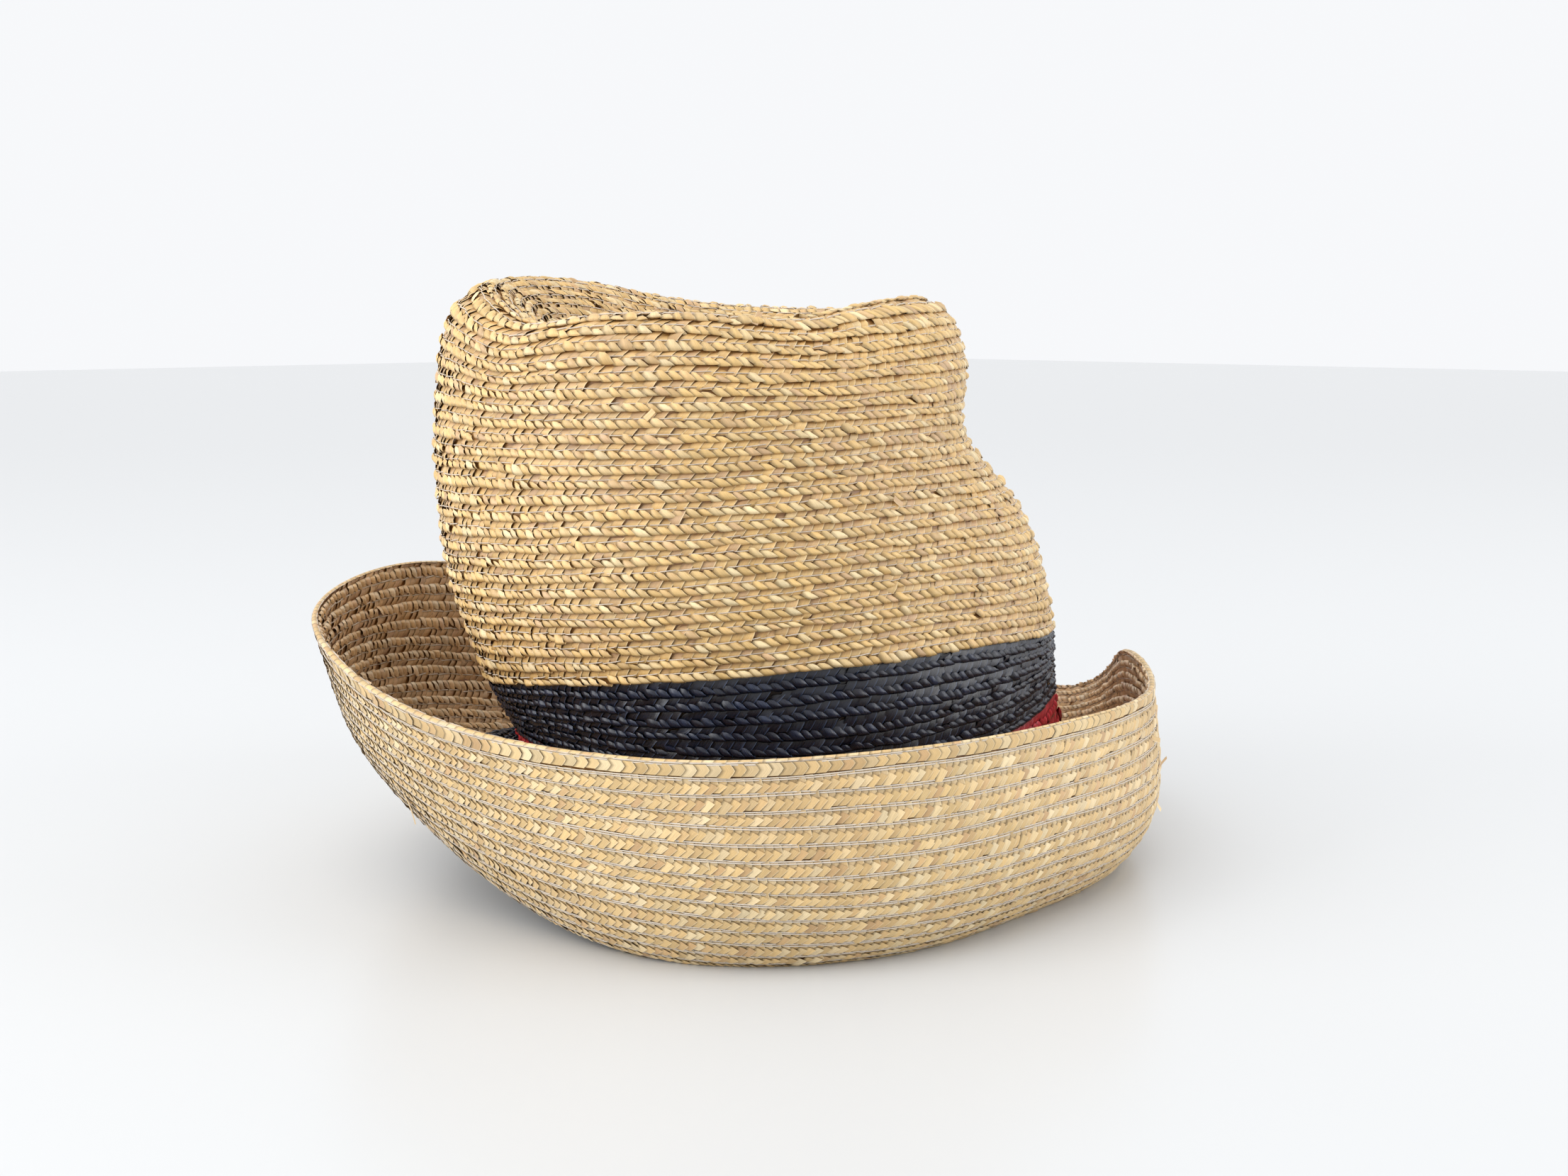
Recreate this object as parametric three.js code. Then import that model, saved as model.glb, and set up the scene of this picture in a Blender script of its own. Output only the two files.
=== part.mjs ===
// A soft straw hat sewn from one spiral of flat straw braid: a tall crown with a centre crease and
// two front pinches, coloured stripes at its foot, and a wide brim turned up all round.
// Millimetres, +X is the front of the hat, +Y the wearer's left, +Z up.
import * as THREE from "three";

// Driving sizes
const BAND_LENGTH = 202; // front to back through the wall, at the top of the dark stripe
const BAND_WIDTH = 172; // side to side through the wall, at the same height
const CROWN_RISE = 155; // fold between crown and brim up to the crest of the crown
const CROWN_LEAN = 155; // how far a full share of lean moves a section back or sideways
const DENT_DEPTH = 31; // crest of the crown down to the floor of the crease
const PINCH_DEPTH = 13; // how deep the fingers pressed each front pinch
const BRIM_REACH = 60; // a full share of the brim's way out from the fold
const BRIM_DROP = 42; // fold down to the lowest line of the brim
const BRIM_RISE = 100; // lowest line up to the highest point of the edge
const WALL = 2; // two thicknesses of straw braid, where one row laps the next
const SEAM_GAP = 0.3; // clearance left between two neighbouring pieces
const OVALNESS = 2.25; // 2 is an ellipse, more is squarer

// The surface is measured in rows of braid, counted from the fold between crown and brim: positive
// rows climb the crown and run down into its crease, negative rows run out along the brim.
const RED_TOP = 3;
const NAVY_TOP = 10;
const TIP = 44;
const STRIPE_END = -5;
const FOOT = -9; // the lowest line of the brim
const FOOT_HALF = 0.6; // half the flat strip that the hat stands on
const TURN = -13; // where the brim turns up
const BELLY = -15.5; // where the turned-up part bulges most
const EDGE = -25;

// A row of the natural straw, by its share of the way from the dark stripe to the tip.
const strawRow = (share) => NAVY_TOP + share * (TIP - NAVY_TOP);
const SHOULDER = strawRow(0.618); // where the wall starts to turn over into the crest

// Facets round the hat, and rings of them along each piece
const SIDES = 60;
const RINGS = { side: 10, top: 12, navy: 3, red: 2, brimStripe: 3, foot: 3, brim: 3, turnup: 5 };

// Each entry is one section of the crown, from the fold up, over the crest, down into the crease.
// back, left: shares of CROWN_LEAN that the section stands behind and left of the fold's centre.
// long, wide: shares of the band's length and width. up: share of CROWN_RISE. dip: share of
// DENT_DEPTH. front, side, ends, twist: shares of CROWN_RISE by which the front, the left side, the
// two ends, and the front right with the back left stand higher than the section's middle.
const CROWN_SECTIONS = [
  {
    row: 0, back: -0.025, left: -0.02, long: 0.985, wide: 1, up: 0, dip: 0,
    front: 0, side: 0.01, ends: 0.006, twist: 0,
  },
  {
    row: RED_TOP, back: -0.016, left: -0.016, long: 0.97, wide: 0.985, up: 0.075, dip: 0,
    front: 0.04, side: -0.006, ends: 0.022, twist: 0.012,
  },
  {
    row: NAVY_TOP, back: 0.007, left: 0.007, long: 1.013, wide: 1.023, up: 0.218, dip: 0,
    front: 0.006, side: -0.065, ends: 0, twist: -0.012,
  },
  {
    row: strawRow(0.088), back: 0.025, left: 0.026, long: 1.036, wide: 1.041, up: 0.314, dip: 0,
    front: 0.008, side: -0.055, ends: 0, twist: -0.009,
  },
  {
    row: strawRow(0.235), back: 0.064, left: 0.05, long: 1.034, wide: 1.044, up: 0.47, dip: 0,
    front: 0.012, side: -0.043, ends: 0, twist: -0.005,
  },
  {
    row: strawRow(0.382), back: 0.096, left: 0.068, long: 1.004, wide: 1.013, up: 0.627, dip: 0,
    front: 0.007, side: -0.028, ends: 0, twist: 0,
  },
  {
    row: strawRow(0.529), back: 0.121, left: 0.077, long: 0.969, wide: 0.968, up: 0.785, dip: 0,
    front: 0.002, side: -0.007, ends: 0, twist: 0.005,
  },
  {
    row: strawRow(0.618), back: 0.137, left: 0.083, long: 0.944, wide: 0.897, up: 0.888, dip: 0,
    front: -0.002, side: 0.013, ends: 0, twist: 0.008,
  },
  {
    row: strawRow(0.691), back: 0.137, left: 0.083, long: 0.92, wide: 0.785, up: 0.965, dip: 0,
    front: -0.01, side: 0.02, ends: 0, twist: 0.012,
  },
  {
    row: strawRow(0.735), back: 0.137, left: 0.075, long: 0.84, wide: 0.65, up: 1, dip: 0,
    front: -0.015, side: 0.026, ends: -0.005, twist: 0.018,
  },
  {
    row: strawRow(0.794), back: 0.142, left: 0.07, long: 0.71, wide: 0.49, up: 1, dip: 0.25,
    front: -0.02, side: 0.026, ends: 0.006, twist: 0.018,
  },
  {
    row: strawRow(0.853), back: 0.15, left: 0.065, long: 0.58, wide: 0.35, up: 1, dip: 0.6,
    front: -0.02, side: 0.02, ends: 0.02, twist: 0.01,
  },
  {
    row: strawRow(0.912), back: 0.16, left: 0.06, long: 0.42, wide: 0.2, up: 1, dip: 0.87,
    front: 0, side: 0.013, ends: 0.02, twist: 0,
  },
  {
    row: strawRow(0.971), back: 0.16, left: 0.055, long: 0.27, wide: 0.08, up: 1, dip: 0.97,
    front: 0, side: 0.006, ends: 0.006, twist: 0,
  },
  {
    row: TIP, back: 0.16, left: 0.052, long: 0.2, wide: 0.03, up: 1, dip: 1,
    front: 0, side: 0, ends: 0, twist: 0,
  },
];

// Where hands pressed the crown: first the two pinches at the front, then the dips and the swell of
// the crest round the crease. angle: from the front, in degrees. row: where it is deepest.
// inward, down: shares of PINCH_DEPTH. spread: how far it reaches each way, in degrees. tall: how
// far it reaches up and down, as a share of the natural straw's rows.
const PRESSES = [
  { angle: -40, row: strawRow(0.441), inward: 1, down: 0, spread: 28, tall: 0.132 },
  { angle: 40, row: strawRow(0.441), inward: 1, down: 0, spread: 28, tall: 0.132 },
  { angle: 160, row: strawRow(0.65), inward: 0.15, down: 0.1, spread: 25, tall: 0.13 },
  { angle: 185, row: strawRow(0.75), inward: 0, down: 0.65, spread: 15, tall: 0.17 },
  { angle: 208, row: strawRow(0.75), inward: 0, down: 0.12, spread: 14, tall: 0.15 },
  { angle: 252, row: strawRow(0.74), inward: 0, down: 0.2, spread: 24, tall: 0.15 },
  { angle: 318, row: strawRow(0.74), inward: 0, down: -0.15, spread: 24, tall: 0.17 },
];

// Each entry is one radial section of the brim, at an angle from the front in degrees.
// Out columns: shares of BRIM_REACH beyond the fold, at the end of the stripe, at the lowest line, at
// the belly of the turned-up part and at the edge. Down columns: shares of BRIM_DROP below the fold.
// Up columns: shares of BRIM_RISE above the lowest line.
const BRIM_SECTIONS = [
  {
    angle: 0, stripeOut: 0.27, stripeDown: 0.48, footOut: 0.5, footDown: 1,
    bellyOut: 0.78, bellyUp: 0.1, edgeOut: 1.12, edgeUp: 0.36,
  },
  {
    angle: 30, stripeOut: 0.22, stripeDown: 0.48, footOut: 0.46, footDown: 1,
    bellyOut: 0.74, bellyUp: 0.12, edgeOut: 1.06, edgeUp: 0.46,
  },
  {
    angle: 60, stripeOut: 0.21, stripeDown: 0.52, footOut: 0.44, footDown: 1,
    bellyOut: 0.77, bellyUp: 0.18, edgeOut: 1.02, edgeUp: 0.7,
  },
  {
    angle: 90, stripeOut: 0.25, stripeDown: 0.48, footOut: 0.5, footDown: 0.82,
    bellyOut: 0.9, bellyUp: 0.28, edgeOut: 1.05, edgeUp: 0.88,
  },
  {
    angle: 120, stripeOut: 0.28, stripeDown: 0.17, footOut: 0.52, footDown: 0.52,
    bellyOut: 0.9, bellyUp: 0.42, edgeOut: 0.97, edgeUp: 0.99,
  },
  {
    angle: 150, stripeOut: 0.29, stripeDown: 0.03, footOut: 0.46, footDown: 0.33,
    bellyOut: 0.82, bellyUp: 0.5, edgeOut: 1.04, edgeUp: 0.92,
  },
  {
    angle: 180, stripeOut: 0.17, stripeDown: 0.38, footOut: 0.3, footDown: 0.79,
    bellyOut: 0.63, bellyUp: 0.33, edgeOut: 0.9, edgeUp: 0.74,
  },
  {
    angle: 210, stripeOut: 0.14, stripeDown: 0.48, footOut: 0.36, footDown: 1,
    bellyOut: 0.66, bellyUp: 0.24, edgeOut: 0.74, edgeUp: 0.67,
  },
  {
    angle: 240, stripeOut: 0.16, stripeDown: 0.52, footOut: 0.4, footDown: 1,
    bellyOut: 0.68, bellyUp: 0.2, edgeOut: 0.67, edgeUp: 0.67,
  },
  {
    angle: 270, stripeOut: 0.13, stripeDown: 0.52, footOut: 0.32, footDown: 1,
    bellyOut: 0.63, bellyUp: 0.2, edgeOut: 0.62, edgeUp: 0.66,
  },
  {
    angle: 300, stripeOut: 0.17, stripeDown: 0.48, footOut: 0.36, footDown: 1,
    bellyOut: 0.66, bellyUp: 0.2, edgeOut: 0.65, edgeUp: 0.65,
  },
  {
    angle: 330, stripeOut: 0.22, stripeDown: 0.43, footOut: 0.39, footDown: 1,
    bellyOut: 0.66, bellyUp: 0.24, edgeOut: 0.6, edgeUp: 0.67,
  },
];

// A smooth curve through values given at rising knots.
function through(knots, values, at) {
  const last = knots.length - 1;
  const slope = (i) => {
    const from = Math.max(i - 1, 0);
    const to = Math.min(i + 1, last);
    return (values[to] - values[from]) / (knots[to] - knots[from]);
  };
  let i = 0;
  while (i < last - 1 && at > knots[i + 1]) i += 1;
  const span = knots[i + 1] - knots[i];
  const t = (at - knots[i]) / span;
  return (
    (2 * t ** 3 - 3 * t ** 2 + 1) * values[i] +
    (t ** 3 - 2 * t ** 2 + t) * span * slope(i) +
    (3 * t ** 2 - 2 * t ** 3) * values[i + 1] +
    (t ** 3 - t ** 2) * span * slope(i + 1)
  );
}

// One column of the brim's table, as a smooth closed curve round the hat.
function roundTheBrim(column, degrees) {
  const turns = [-360, 0, 360];
  const knots = turns.flatMap((turn) => BRIM_SECTIONS.map((s) => s.angle + turn));
  const values = turns.flatMap(() => BRIM_SECTIONS.map((s) => s[column]));
  return through(knots, values, degrees);
}

// How far the oval of a given half length and half width reaches at an angle.
function ovalReach(halfLong, halfWide, angle) {
  const along = Math.abs(Math.cos(angle) / halfLong) ** OVALNESS;
  const across = Math.abs(Math.sin(angle) / halfWide) ** OVALNESS;
  return (along + across) ** (-1 / OVALNESS);
}

function crownPoint(section, angle) {
  const reach = ovalReach(
    (section.long * BAND_LENGTH) / 2,
    (section.wide * BAND_WIDTH) / 2,
    angle,
  );
  const tilt =
    section.front * Math.cos(angle) +
    section.side * Math.sin(angle) +
    section.ends * Math.cos(2 * angle) -
    section.twist * Math.sin(2 * angle);
  return new THREE.Vector3(
    reach * Math.cos(angle) - section.back * CROWN_LEAN,
    reach * Math.sin(angle) + section.left * CROWN_LEAN,
    (section.up + tilt) * CROWN_RISE - section.dip * DENT_DEPTH,
  );
}

// The knots of one upright slice through the hat, from the edge of the brim to the tip of the crown.
function slice(degrees) {
  const angle = THREE.MathUtils.degToRad(degrees);
  const share = (column) => roundTheBrim(column, degrees);
  const foldReach = ovalReach(
    (CROWN_SECTIONS[0].long * BAND_LENGTH) / 2,
    (CROWN_SECTIONS[0].wide * BAND_WIDTH) / 2,
    angle,
  );
  const brimPoint = (out, height) =>
    new THREE.Vector3(
      (foldReach + out * BRIM_REACH) * Math.cos(angle),
      (foldReach + out * BRIM_REACH) * Math.sin(angle),
      height,
    );
  const up = (part) => part * BRIM_RISE - BRIM_DROP;
  const down = (part) => -part * BRIM_DROP;
  return {
    rows: [EDGE, BELLY, FOOT, STRIPE_END, ...CROWN_SECTIONS.map((s) => s.row)],
    points: [
      brimPoint(share("edgeOut"), up(share("edgeUp"))),
      brimPoint(share("bellyOut"), up(share("bellyUp"))),
      brimPoint(share("footOut"), down(share("footDown"))),
      brimPoint(share("stripeOut"), down(share("stripeDown"))),
      ...CROWN_SECTIONS.map((section) => crownPoint(section, angle)),
    ],
  };
}

// The middle of the wall at an angle round the hat and a row. The table it lies on flattens the
// lowest line of the brim.
function wallMiddle(cut, degrees, row) {
  const point = new THREE.Vector3(
    ...["x", "y", "z"].map((axis) =>
      through(cut.rows, cut.points.map((p) => p[axis]), row),
    ),
  );
  const angle = THREE.MathUtils.degToRad(degrees);
  for (const press of PRESSES) {
    const aside = (((degrees - press.angle) % 360) + 540) % 360 - 180;
    const reach = press.tall * (TIP - NAVY_TOP);
    const depth =
      PINCH_DEPTH *
      Math.exp(-((aside / press.spread) ** 2) - ((row - press.row) / reach) ** 2);
    point.x -= press.inward * depth * Math.cos(angle);
    point.y -= press.inward * depth * Math.sin(angle);
    point.z -= press.down * depth;
  }
  point.z = Math.max(point.z, WALL / 2 - BRIM_DROP);
  return point;
}

const STEP = 360 / SIDES;
const NUDGE = 0.01; // for slopes, in degrees and rows
const cuts = new Map();
function cutAt(degrees) {
  if (!cuts.has(degrees)) cuts.set(degrees, slice(degrees));
  return cuts.get(degrees);
}

// The middle of the wall with the directions up the wall and out of its face.
function wallFrame(degrees, row) {
  const at = (d, r) => wallMiddle(cutAt(d), d, r);
  const middle = at(degrees, row);
  const upWall = at(degrees, Math.min(row + NUDGE, TIP)).sub(
    at(degrees, Math.max(row - NUDGE, EDGE)),
  );
  const round = at(degrees + NUDGE, row).sub(at(degrees - NUDGE, row));
  const out = round.clone().cross(upWall).normalize();
  return { middle, upWall: upWall.normalize(), out };
}

// Points evenly spread from one row to another.
function evenly(from, to, steps) {
  return Array.from({ length: steps + 1 }, (_, i) => from + ((to - from) * i) / steps);
}

// A closed wall from the first row to the last. Half the seam gap is left at each end that meets
// another piece, and a wall that reaches the tip is closed over it.
function wall(rows, meetsFirst, meetsLast) {
  const closed = rows.at(-1) === TIP;
  const outer = [];
  const inner = [];
  rows.forEach((row, i) => {
    const atFirst = i === 0 && meetsFirst;
    const atLast = i === rows.length - 1 && meetsLast;
    const pull = ((atFirst ? 1 : 0) - (atLast ? 1 : 0)) * (SEAM_GAP / 2);
    for (let side = 0; side < SIDES; side += 1) {
      const { middle, upWall, out } = wallFrame(side * STEP, row);
      middle.addScaledVector(upWall, pull);
      outer.push(middle.clone().addScaledVector(out, WALL / 2));
      inner.push(middle.clone().addScaledVector(out, -WALL / 2));
    }
  });
  const points = [...outer, ...inner];
  const under = outer.length;
  const index = [];
  const quad = (a, b, c, d) => index.push(a, b, c, a, c, d);
  for (let side = 0; side < SIDES; side += 1) {
    const next = (side + 1) % SIDES;
    for (let ring = 0; ring + 1 < rows.length; ring += 1) {
      const low = ring * SIDES;
      const high = low + SIDES;
      quad(low + side, low + next, high + next, high + side);
      quad(under + low + next, under + low + side, under + high + side, under + high + next);
    }
    quad(side, under + side, under + next, next);
    const top = (rows.length - 1) * SIDES;
    if (!closed) quad(top + side, top + next, under + top + next, under + top + side);
  }
  if (closed) {
    const top = (rows.length - 1) * SIDES;
    for (const start of [top, under + top]) {
      const ring = points.slice(start, start + SIDES);
      const centre = ring
        .reduce((sum, p) => sum.add(p), new THREE.Vector3())
        .divideScalar(SIDES);
      points.push(centre);
      for (let side = 0; side < SIDES; side += 1) {
        const pair = [start + side, start + ((side + 1) % SIDES)];
        if (start > top) pair.reverse();
        index.push(...pair, points.length - 1);
      }
    }
  }
  const geometry = new THREE.BufferGeometry().setFromPoints(points);
  geometry.setIndex(index);
  geometry.computeVertexNormals();
  return geometry;
}

const dyed = (color, roughness) =>
  new THREE.MeshStandardMaterial({ color, roughness, metalness: 0 });
const straw = dyed("#d3ab6a", 0.55);
const navyStraw = dyed("#10131f", 0.35);
const redStraw = dyed("#a3121f", 0.5);

const hat = new THREE.Group();
function addPiece(name, material, geometry) {
  const mesh = new THREE.Mesh(geometry, material);
  mesh.name = name;
  hat.add(mesh);
}

// The crown: its side, and its top, where rings are closer together over the sharp crest.
const sideRows = evenly(NAVY_TOP, SHOULDER, RINGS.side);
const topRows = evenly(SHOULDER, TIP, RINGS.top);
addPiece("crown_side", straw, wall(sideRows, true, true));
addPiece("crown_top", straw, wall(topRows, true, false));
addPiece("navy_stripe", navyStraw, wall(evenly(RED_TOP, NAVY_TOP, RINGS.navy), true, true));
addPiece("red_stripe", redStraw, wall(evenly(0, RED_TOP, RINGS.red), true, true));
addPiece("brim_stripe", navyStraw, wall(evenly(STRIPE_END, 0, RINGS.brimStripe), true, true));

// The brim: a narrow ring of facets at its lowest line makes the flat strip that it stands on.
const brimRows = [
  ...evenly(TURN, FOOT - FOOT_HALF, RINGS.brim),
  ...evenly(FOOT + FOOT_HALF, STRIPE_END, RINGS.foot),
];
addPiece("brim", straw, wall(brimRows, true, true));
addPiece("brim_turnup", straw, wall(evenly(EDGE, TURN, RINGS.turnup), false, true));

// The hat stands on the floor with the middle of its outline at the origin.
const box = new THREE.Box3().setFromObject(hat);
const centre = box.getCenter(new THREE.Vector3());
hat.position.set(-centre.x, -centre.y, -box.min.z);

export default hat;
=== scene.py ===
# %% [markdown]
# A soft straw hat, sewn row by row
#
# The real hat is one long flat braid of split wheat straw, sewn to itself in a spiral from the tip
# of the crown to the edge of the brim. A smooth shell with a bump map would give the outline, but
# not the stepped rows, the folded leaves and the thread between them, which are all one sees of
# such a hat. So this lesson first makes the smooth wall as a formula, then lays every leaf of the
# braid on it as a small curved patch, and at last gives straw, dye and thread their finishes.
# The hat's front is +X, the wearer's left is +Y, and +Z is up.

# %% Load the fixed frame
import math

import bpy
import numpy as np
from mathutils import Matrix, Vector


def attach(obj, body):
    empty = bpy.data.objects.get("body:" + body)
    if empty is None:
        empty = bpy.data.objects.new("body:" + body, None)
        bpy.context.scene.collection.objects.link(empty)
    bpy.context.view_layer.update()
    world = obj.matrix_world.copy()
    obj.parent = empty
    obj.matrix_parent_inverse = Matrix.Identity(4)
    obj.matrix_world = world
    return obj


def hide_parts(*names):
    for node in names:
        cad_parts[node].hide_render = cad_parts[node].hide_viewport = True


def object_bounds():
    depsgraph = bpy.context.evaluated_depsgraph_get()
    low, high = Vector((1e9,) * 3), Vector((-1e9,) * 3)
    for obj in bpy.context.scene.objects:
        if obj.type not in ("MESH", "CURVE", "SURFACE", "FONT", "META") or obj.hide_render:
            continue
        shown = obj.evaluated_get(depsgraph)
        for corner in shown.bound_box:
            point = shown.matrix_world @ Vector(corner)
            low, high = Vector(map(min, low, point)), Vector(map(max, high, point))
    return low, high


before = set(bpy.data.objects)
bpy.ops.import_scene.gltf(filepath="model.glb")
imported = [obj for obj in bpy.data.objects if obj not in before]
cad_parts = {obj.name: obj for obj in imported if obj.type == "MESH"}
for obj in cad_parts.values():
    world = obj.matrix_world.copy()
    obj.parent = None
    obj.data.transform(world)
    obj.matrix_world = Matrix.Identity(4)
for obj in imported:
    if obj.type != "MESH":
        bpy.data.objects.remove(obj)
cad_box = [list(map(float, corner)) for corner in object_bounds()]
MM = 0.001
chance = np.random.default_rng(11)
print("The solids measure", [round((b - a) / MM, 1) for a, b in zip(*cad_box)], "mm")

# %% [markdown]
# The wall as sections
#
# A hatter shapes the sewn straw over a block, then dents and rolls it by hand, so no section is a
# plain oval. The wall could be sculpted, but sections keep it in step with the solids: each line
# below is one oval of the crown, from the fold between crown and brim up to the floor of the
# crease, and each brim line is one slice outwards. Rows of braid are the wall's own measure: they
# count from the fold, up the crown as positive numbers and out along the brim as negative ones.

# %% The sizes that the sections share, in millimetres
BAND_LENGTH = 202
BAND_WIDTH = 172
CROWN_RISE = 155
CROWN_LEAN = 155
DENT_DEPTH = 31
PINCH_DEPTH = 13
BRIM_REACH = 60
BRIM_DROP = 42
BRIM_RISE = 100
WALL = 2
OVALNESS = 2.25
RED_TOP = 3
NAVY_TOP = 10
TIP = 44
STRIPE_END = -5
FOOT = -9
BELLY = -15.5
EDGE = -25

# %% The crown's ovals
# The columns are: row, back, left, long, wide, up, dip, front, side, ends and twist, as shares.
CROWN = np.array([
    (0, -0.025, -0.02, 0.985, 1, 0, 0, 0, 0.01, 0.006, 0),
    (RED_TOP, -0.016, -0.016, 0.97, 0.985, 0.075, 0, 0.04, -0.006, 0.022, 0.012),
    (NAVY_TOP, 0.007, 0.007, 1.013, 1.023, 0.218, 0, 0.006, -0.065, 0, -0.012),
    (13, 0.025, 0.026, 1.036, 1.041, 0.314, 0, 0.008, -0.055, 0, -0.009),
    (18, 0.064, 0.05, 1.034, 1.044, 0.47, 0, 0.012, -0.043, 0, -0.005),
    (23, 0.096, 0.068, 1.004, 1.013, 0.627, 0, 0.007, -0.028, 0, 0),
    (28, 0.121, 0.077, 0.969, 0.968, 0.785, 0, 0.002, -0.007, 0, 0.005),
    (31, 0.137, 0.083, 0.944, 0.897, 0.888, 0, -0.002, 0.013, 0, 0.008),
    (33.5, 0.137, 0.083, 0.92, 0.785, 0.965, 0, -0.01, 0.02, 0, 0.012),
    (35, 0.137, 0.075, 0.84, 0.65, 1, 0, -0.015, 0.026, -0.005, 0.018),
    (37, 0.142, 0.07, 0.71, 0.49, 1, 0.25, -0.02, 0.026, 0.006, 0.018),
    (39, 0.15, 0.065, 0.58, 0.35, 1, 0.6, -0.02, 0.02, 0.02, 0.01),
    (41, 0.16, 0.06, 0.42, 0.2, 1, 0.87, 0, 0.013, 0.02, 0),
    (43, 0.16, 0.055, 0.27, 0.08, 1, 0.97, 0, 0.006, 0.006, 0),
    (TIP, 0.16, 0.052, 0.2, 0.03, 1, 1, 0, 0, 0, 0),
])
print("The crown has", len(CROWN), "ovals")

# %% The brim's slices
# The columns are: angle, then how far out and down the stripe ends, how far out and down the foot
# is, how far out and up the belly is, and how far out and up the edge is.
BRIM = np.array([
    (0, 0.27, 0.48, 0.5, 1, 0.78, 0.1, 1.12, 0.36),
    (30, 0.22, 0.48, 0.46, 1, 0.74, 0.12, 1.06, 0.46),
    (60, 0.21, 0.52, 0.44, 1, 0.77, 0.18, 1.02, 0.7),
    (90, 0.25, 0.48, 0.5, 0.82, 0.9, 0.28, 1.05, 0.88),
    (120, 0.28, 0.17, 0.52, 0.52, 0.9, 0.42, 0.97, 0.99),
    (150, 0.29, 0.03, 0.46, 0.33, 0.82, 0.5, 1.04, 0.92),
    (180, 0.17, 0.38, 0.3, 0.79, 0.63, 0.33, 0.9, 0.74),
    (210, 0.14, 0.48, 0.36, 1, 0.66, 0.24, 0.74, 0.67),
    (240, 0.16, 0.52, 0.4, 1, 0.68, 0.2, 0.67, 0.67),
    (270, 0.13, 0.52, 0.32, 1, 0.63, 0.2, 0.62, 0.66),
    (300, 0.17, 0.48, 0.36, 1, 0.66, 0.2, 0.65, 0.65),
    (330, 0.22, 0.43, 0.39, 1, 0.66, 0.24, 0.6, 0.67),
])
print("The brim has", len(BRIM), "slices")

# %% Where hands pressed the crown
# The two front pinches, then the dips and the swell of the crest. The columns are: angle, row as a
# share of the natural rows, inward and down as shares of the pinch, spread in degrees, and height as
# a share of the natural rows.
PRESSES = (
    (-40, 0.441, 1, 0, 28, 0.132),
    (40, 0.441, 1, 0, 28, 0.132),
    (160, 0.65, 0.15, 0.1, 25, 0.13),
    (185, 0.75, 0, 0.65, 15, 0.17),
    (208, 0.75, 0, 0.12, 14, 0.15),
    (252, 0.74, 0, 0.2, 24, 0.15),
    (318, 0.74, 0, -0.15, 24, 0.17),
)
print("Hands pressed the crown in", len(PRESSES), "places")

# %% [markdown]
# From sections to a wall
#
# A smooth curve is run through the sections in both directions. Blender's own lofting tools would
# do that too, but here the leaves need to ask where any angle and row lie and which way is out, so
# the wall is worked out once as a fine grid of points and normals, and read between its points.

# %% A smooth curve through values at rising knots
def through(knots, values, at):
    knots = np.asarray(knots, float)
    values = np.asarray(values, float)
    spread = (-1,) + (1,) * (values.ndim - 1)
    last = len(knots) - 1
    before = np.maximum(np.arange(last + 1) - 1, 0)
    after = np.minimum(np.arange(last + 1) + 1, last)
    slope = (values[after] - values[before]) / (knots[after] - knots[before]).reshape(spread)
    i = np.clip(np.searchsorted(knots, at) - 1, 0, last - 1)
    span = (knots[i + 1] - knots[i]).reshape(spread)
    t = (np.asarray(at, float) - knots[i]).reshape(spread) / span
    start = (2 * t**3 - 3 * t**2 + 1) * values[i] + (t**3 - 2 * t**2 + t) * span * slope[i]
    end = (3 * t**2 - 2 * t**3) * values[i + 1] + (t**3 - t**2) * span * slope[i + 1]
    return start + end


# %% The knots of every upright slice
DEGREE_STEP = 1.0
ROW_STEP = 0.1
degrees = np.arange(0, 360 + DEGREE_STEP / 2, DEGREE_STEP)
angle = np.radians(degrees)


def oval_reach(long_share, wide_share):
    along = np.abs(np.cos(angle) / (long_share * BAND_LENGTH / 2)) ** OVALNESS
    across = np.abs(np.sin(angle) / (wide_share * BAND_WIDTH / 2)) ** OVALNESS
    return (along + across) ** (-1 / OVALNESS)


def crown_ring(section):
    row, back, left, long, wide, up, dip, front, side, ends, twist = section
    reach = oval_reach(long, wide)
    tilt = front * np.cos(angle) + side * np.sin(angle)
    tilt += ends * np.cos(2 * angle) - twist * np.sin(2 * angle)
    height = (up + tilt) * CROWN_RISE - dip * DENT_DEPTH
    x = reach * np.cos(angle) - back * CROWN_LEAN
    y = reach * np.sin(angle) + left * CROWN_LEAN
    return np.stack([x, y, height], axis=1)


def brim_ring(out_share, height):
    reach = oval_reach(CROWN[0][3], CROWN[0][4]) + out_share * BRIM_REACH
    return np.stack([reach * np.cos(angle), reach * np.sin(angle), height], axis=1)


# %% The brim's columns, run smoothly round the hat
round_knots = np.concatenate([BRIM[:, 0] - 360, BRIM[:, 0], BRIM[:, 0] + 360])
shares = through(round_knots, np.tile(BRIM[:, 1:], (3, 1)), degrees)
stripe_out, stripe_down, foot_out, foot_down, belly_out, belly_up, edge_out, edge_up = shares.T
knot_rows = [EDGE, BELLY, FOOT, STRIPE_END, *CROWN[:, 0]]
knot_rings = [
    brim_ring(edge_out, edge_up * BRIM_RISE - BRIM_DROP),
    brim_ring(belly_out, belly_up * BRIM_RISE - BRIM_DROP),
    brim_ring(foot_out, -foot_down * BRIM_DROP),
    brim_ring(stripe_out, -stripe_down * BRIM_DROP),
    *(crown_ring(section) for section in CROWN),
]

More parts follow.
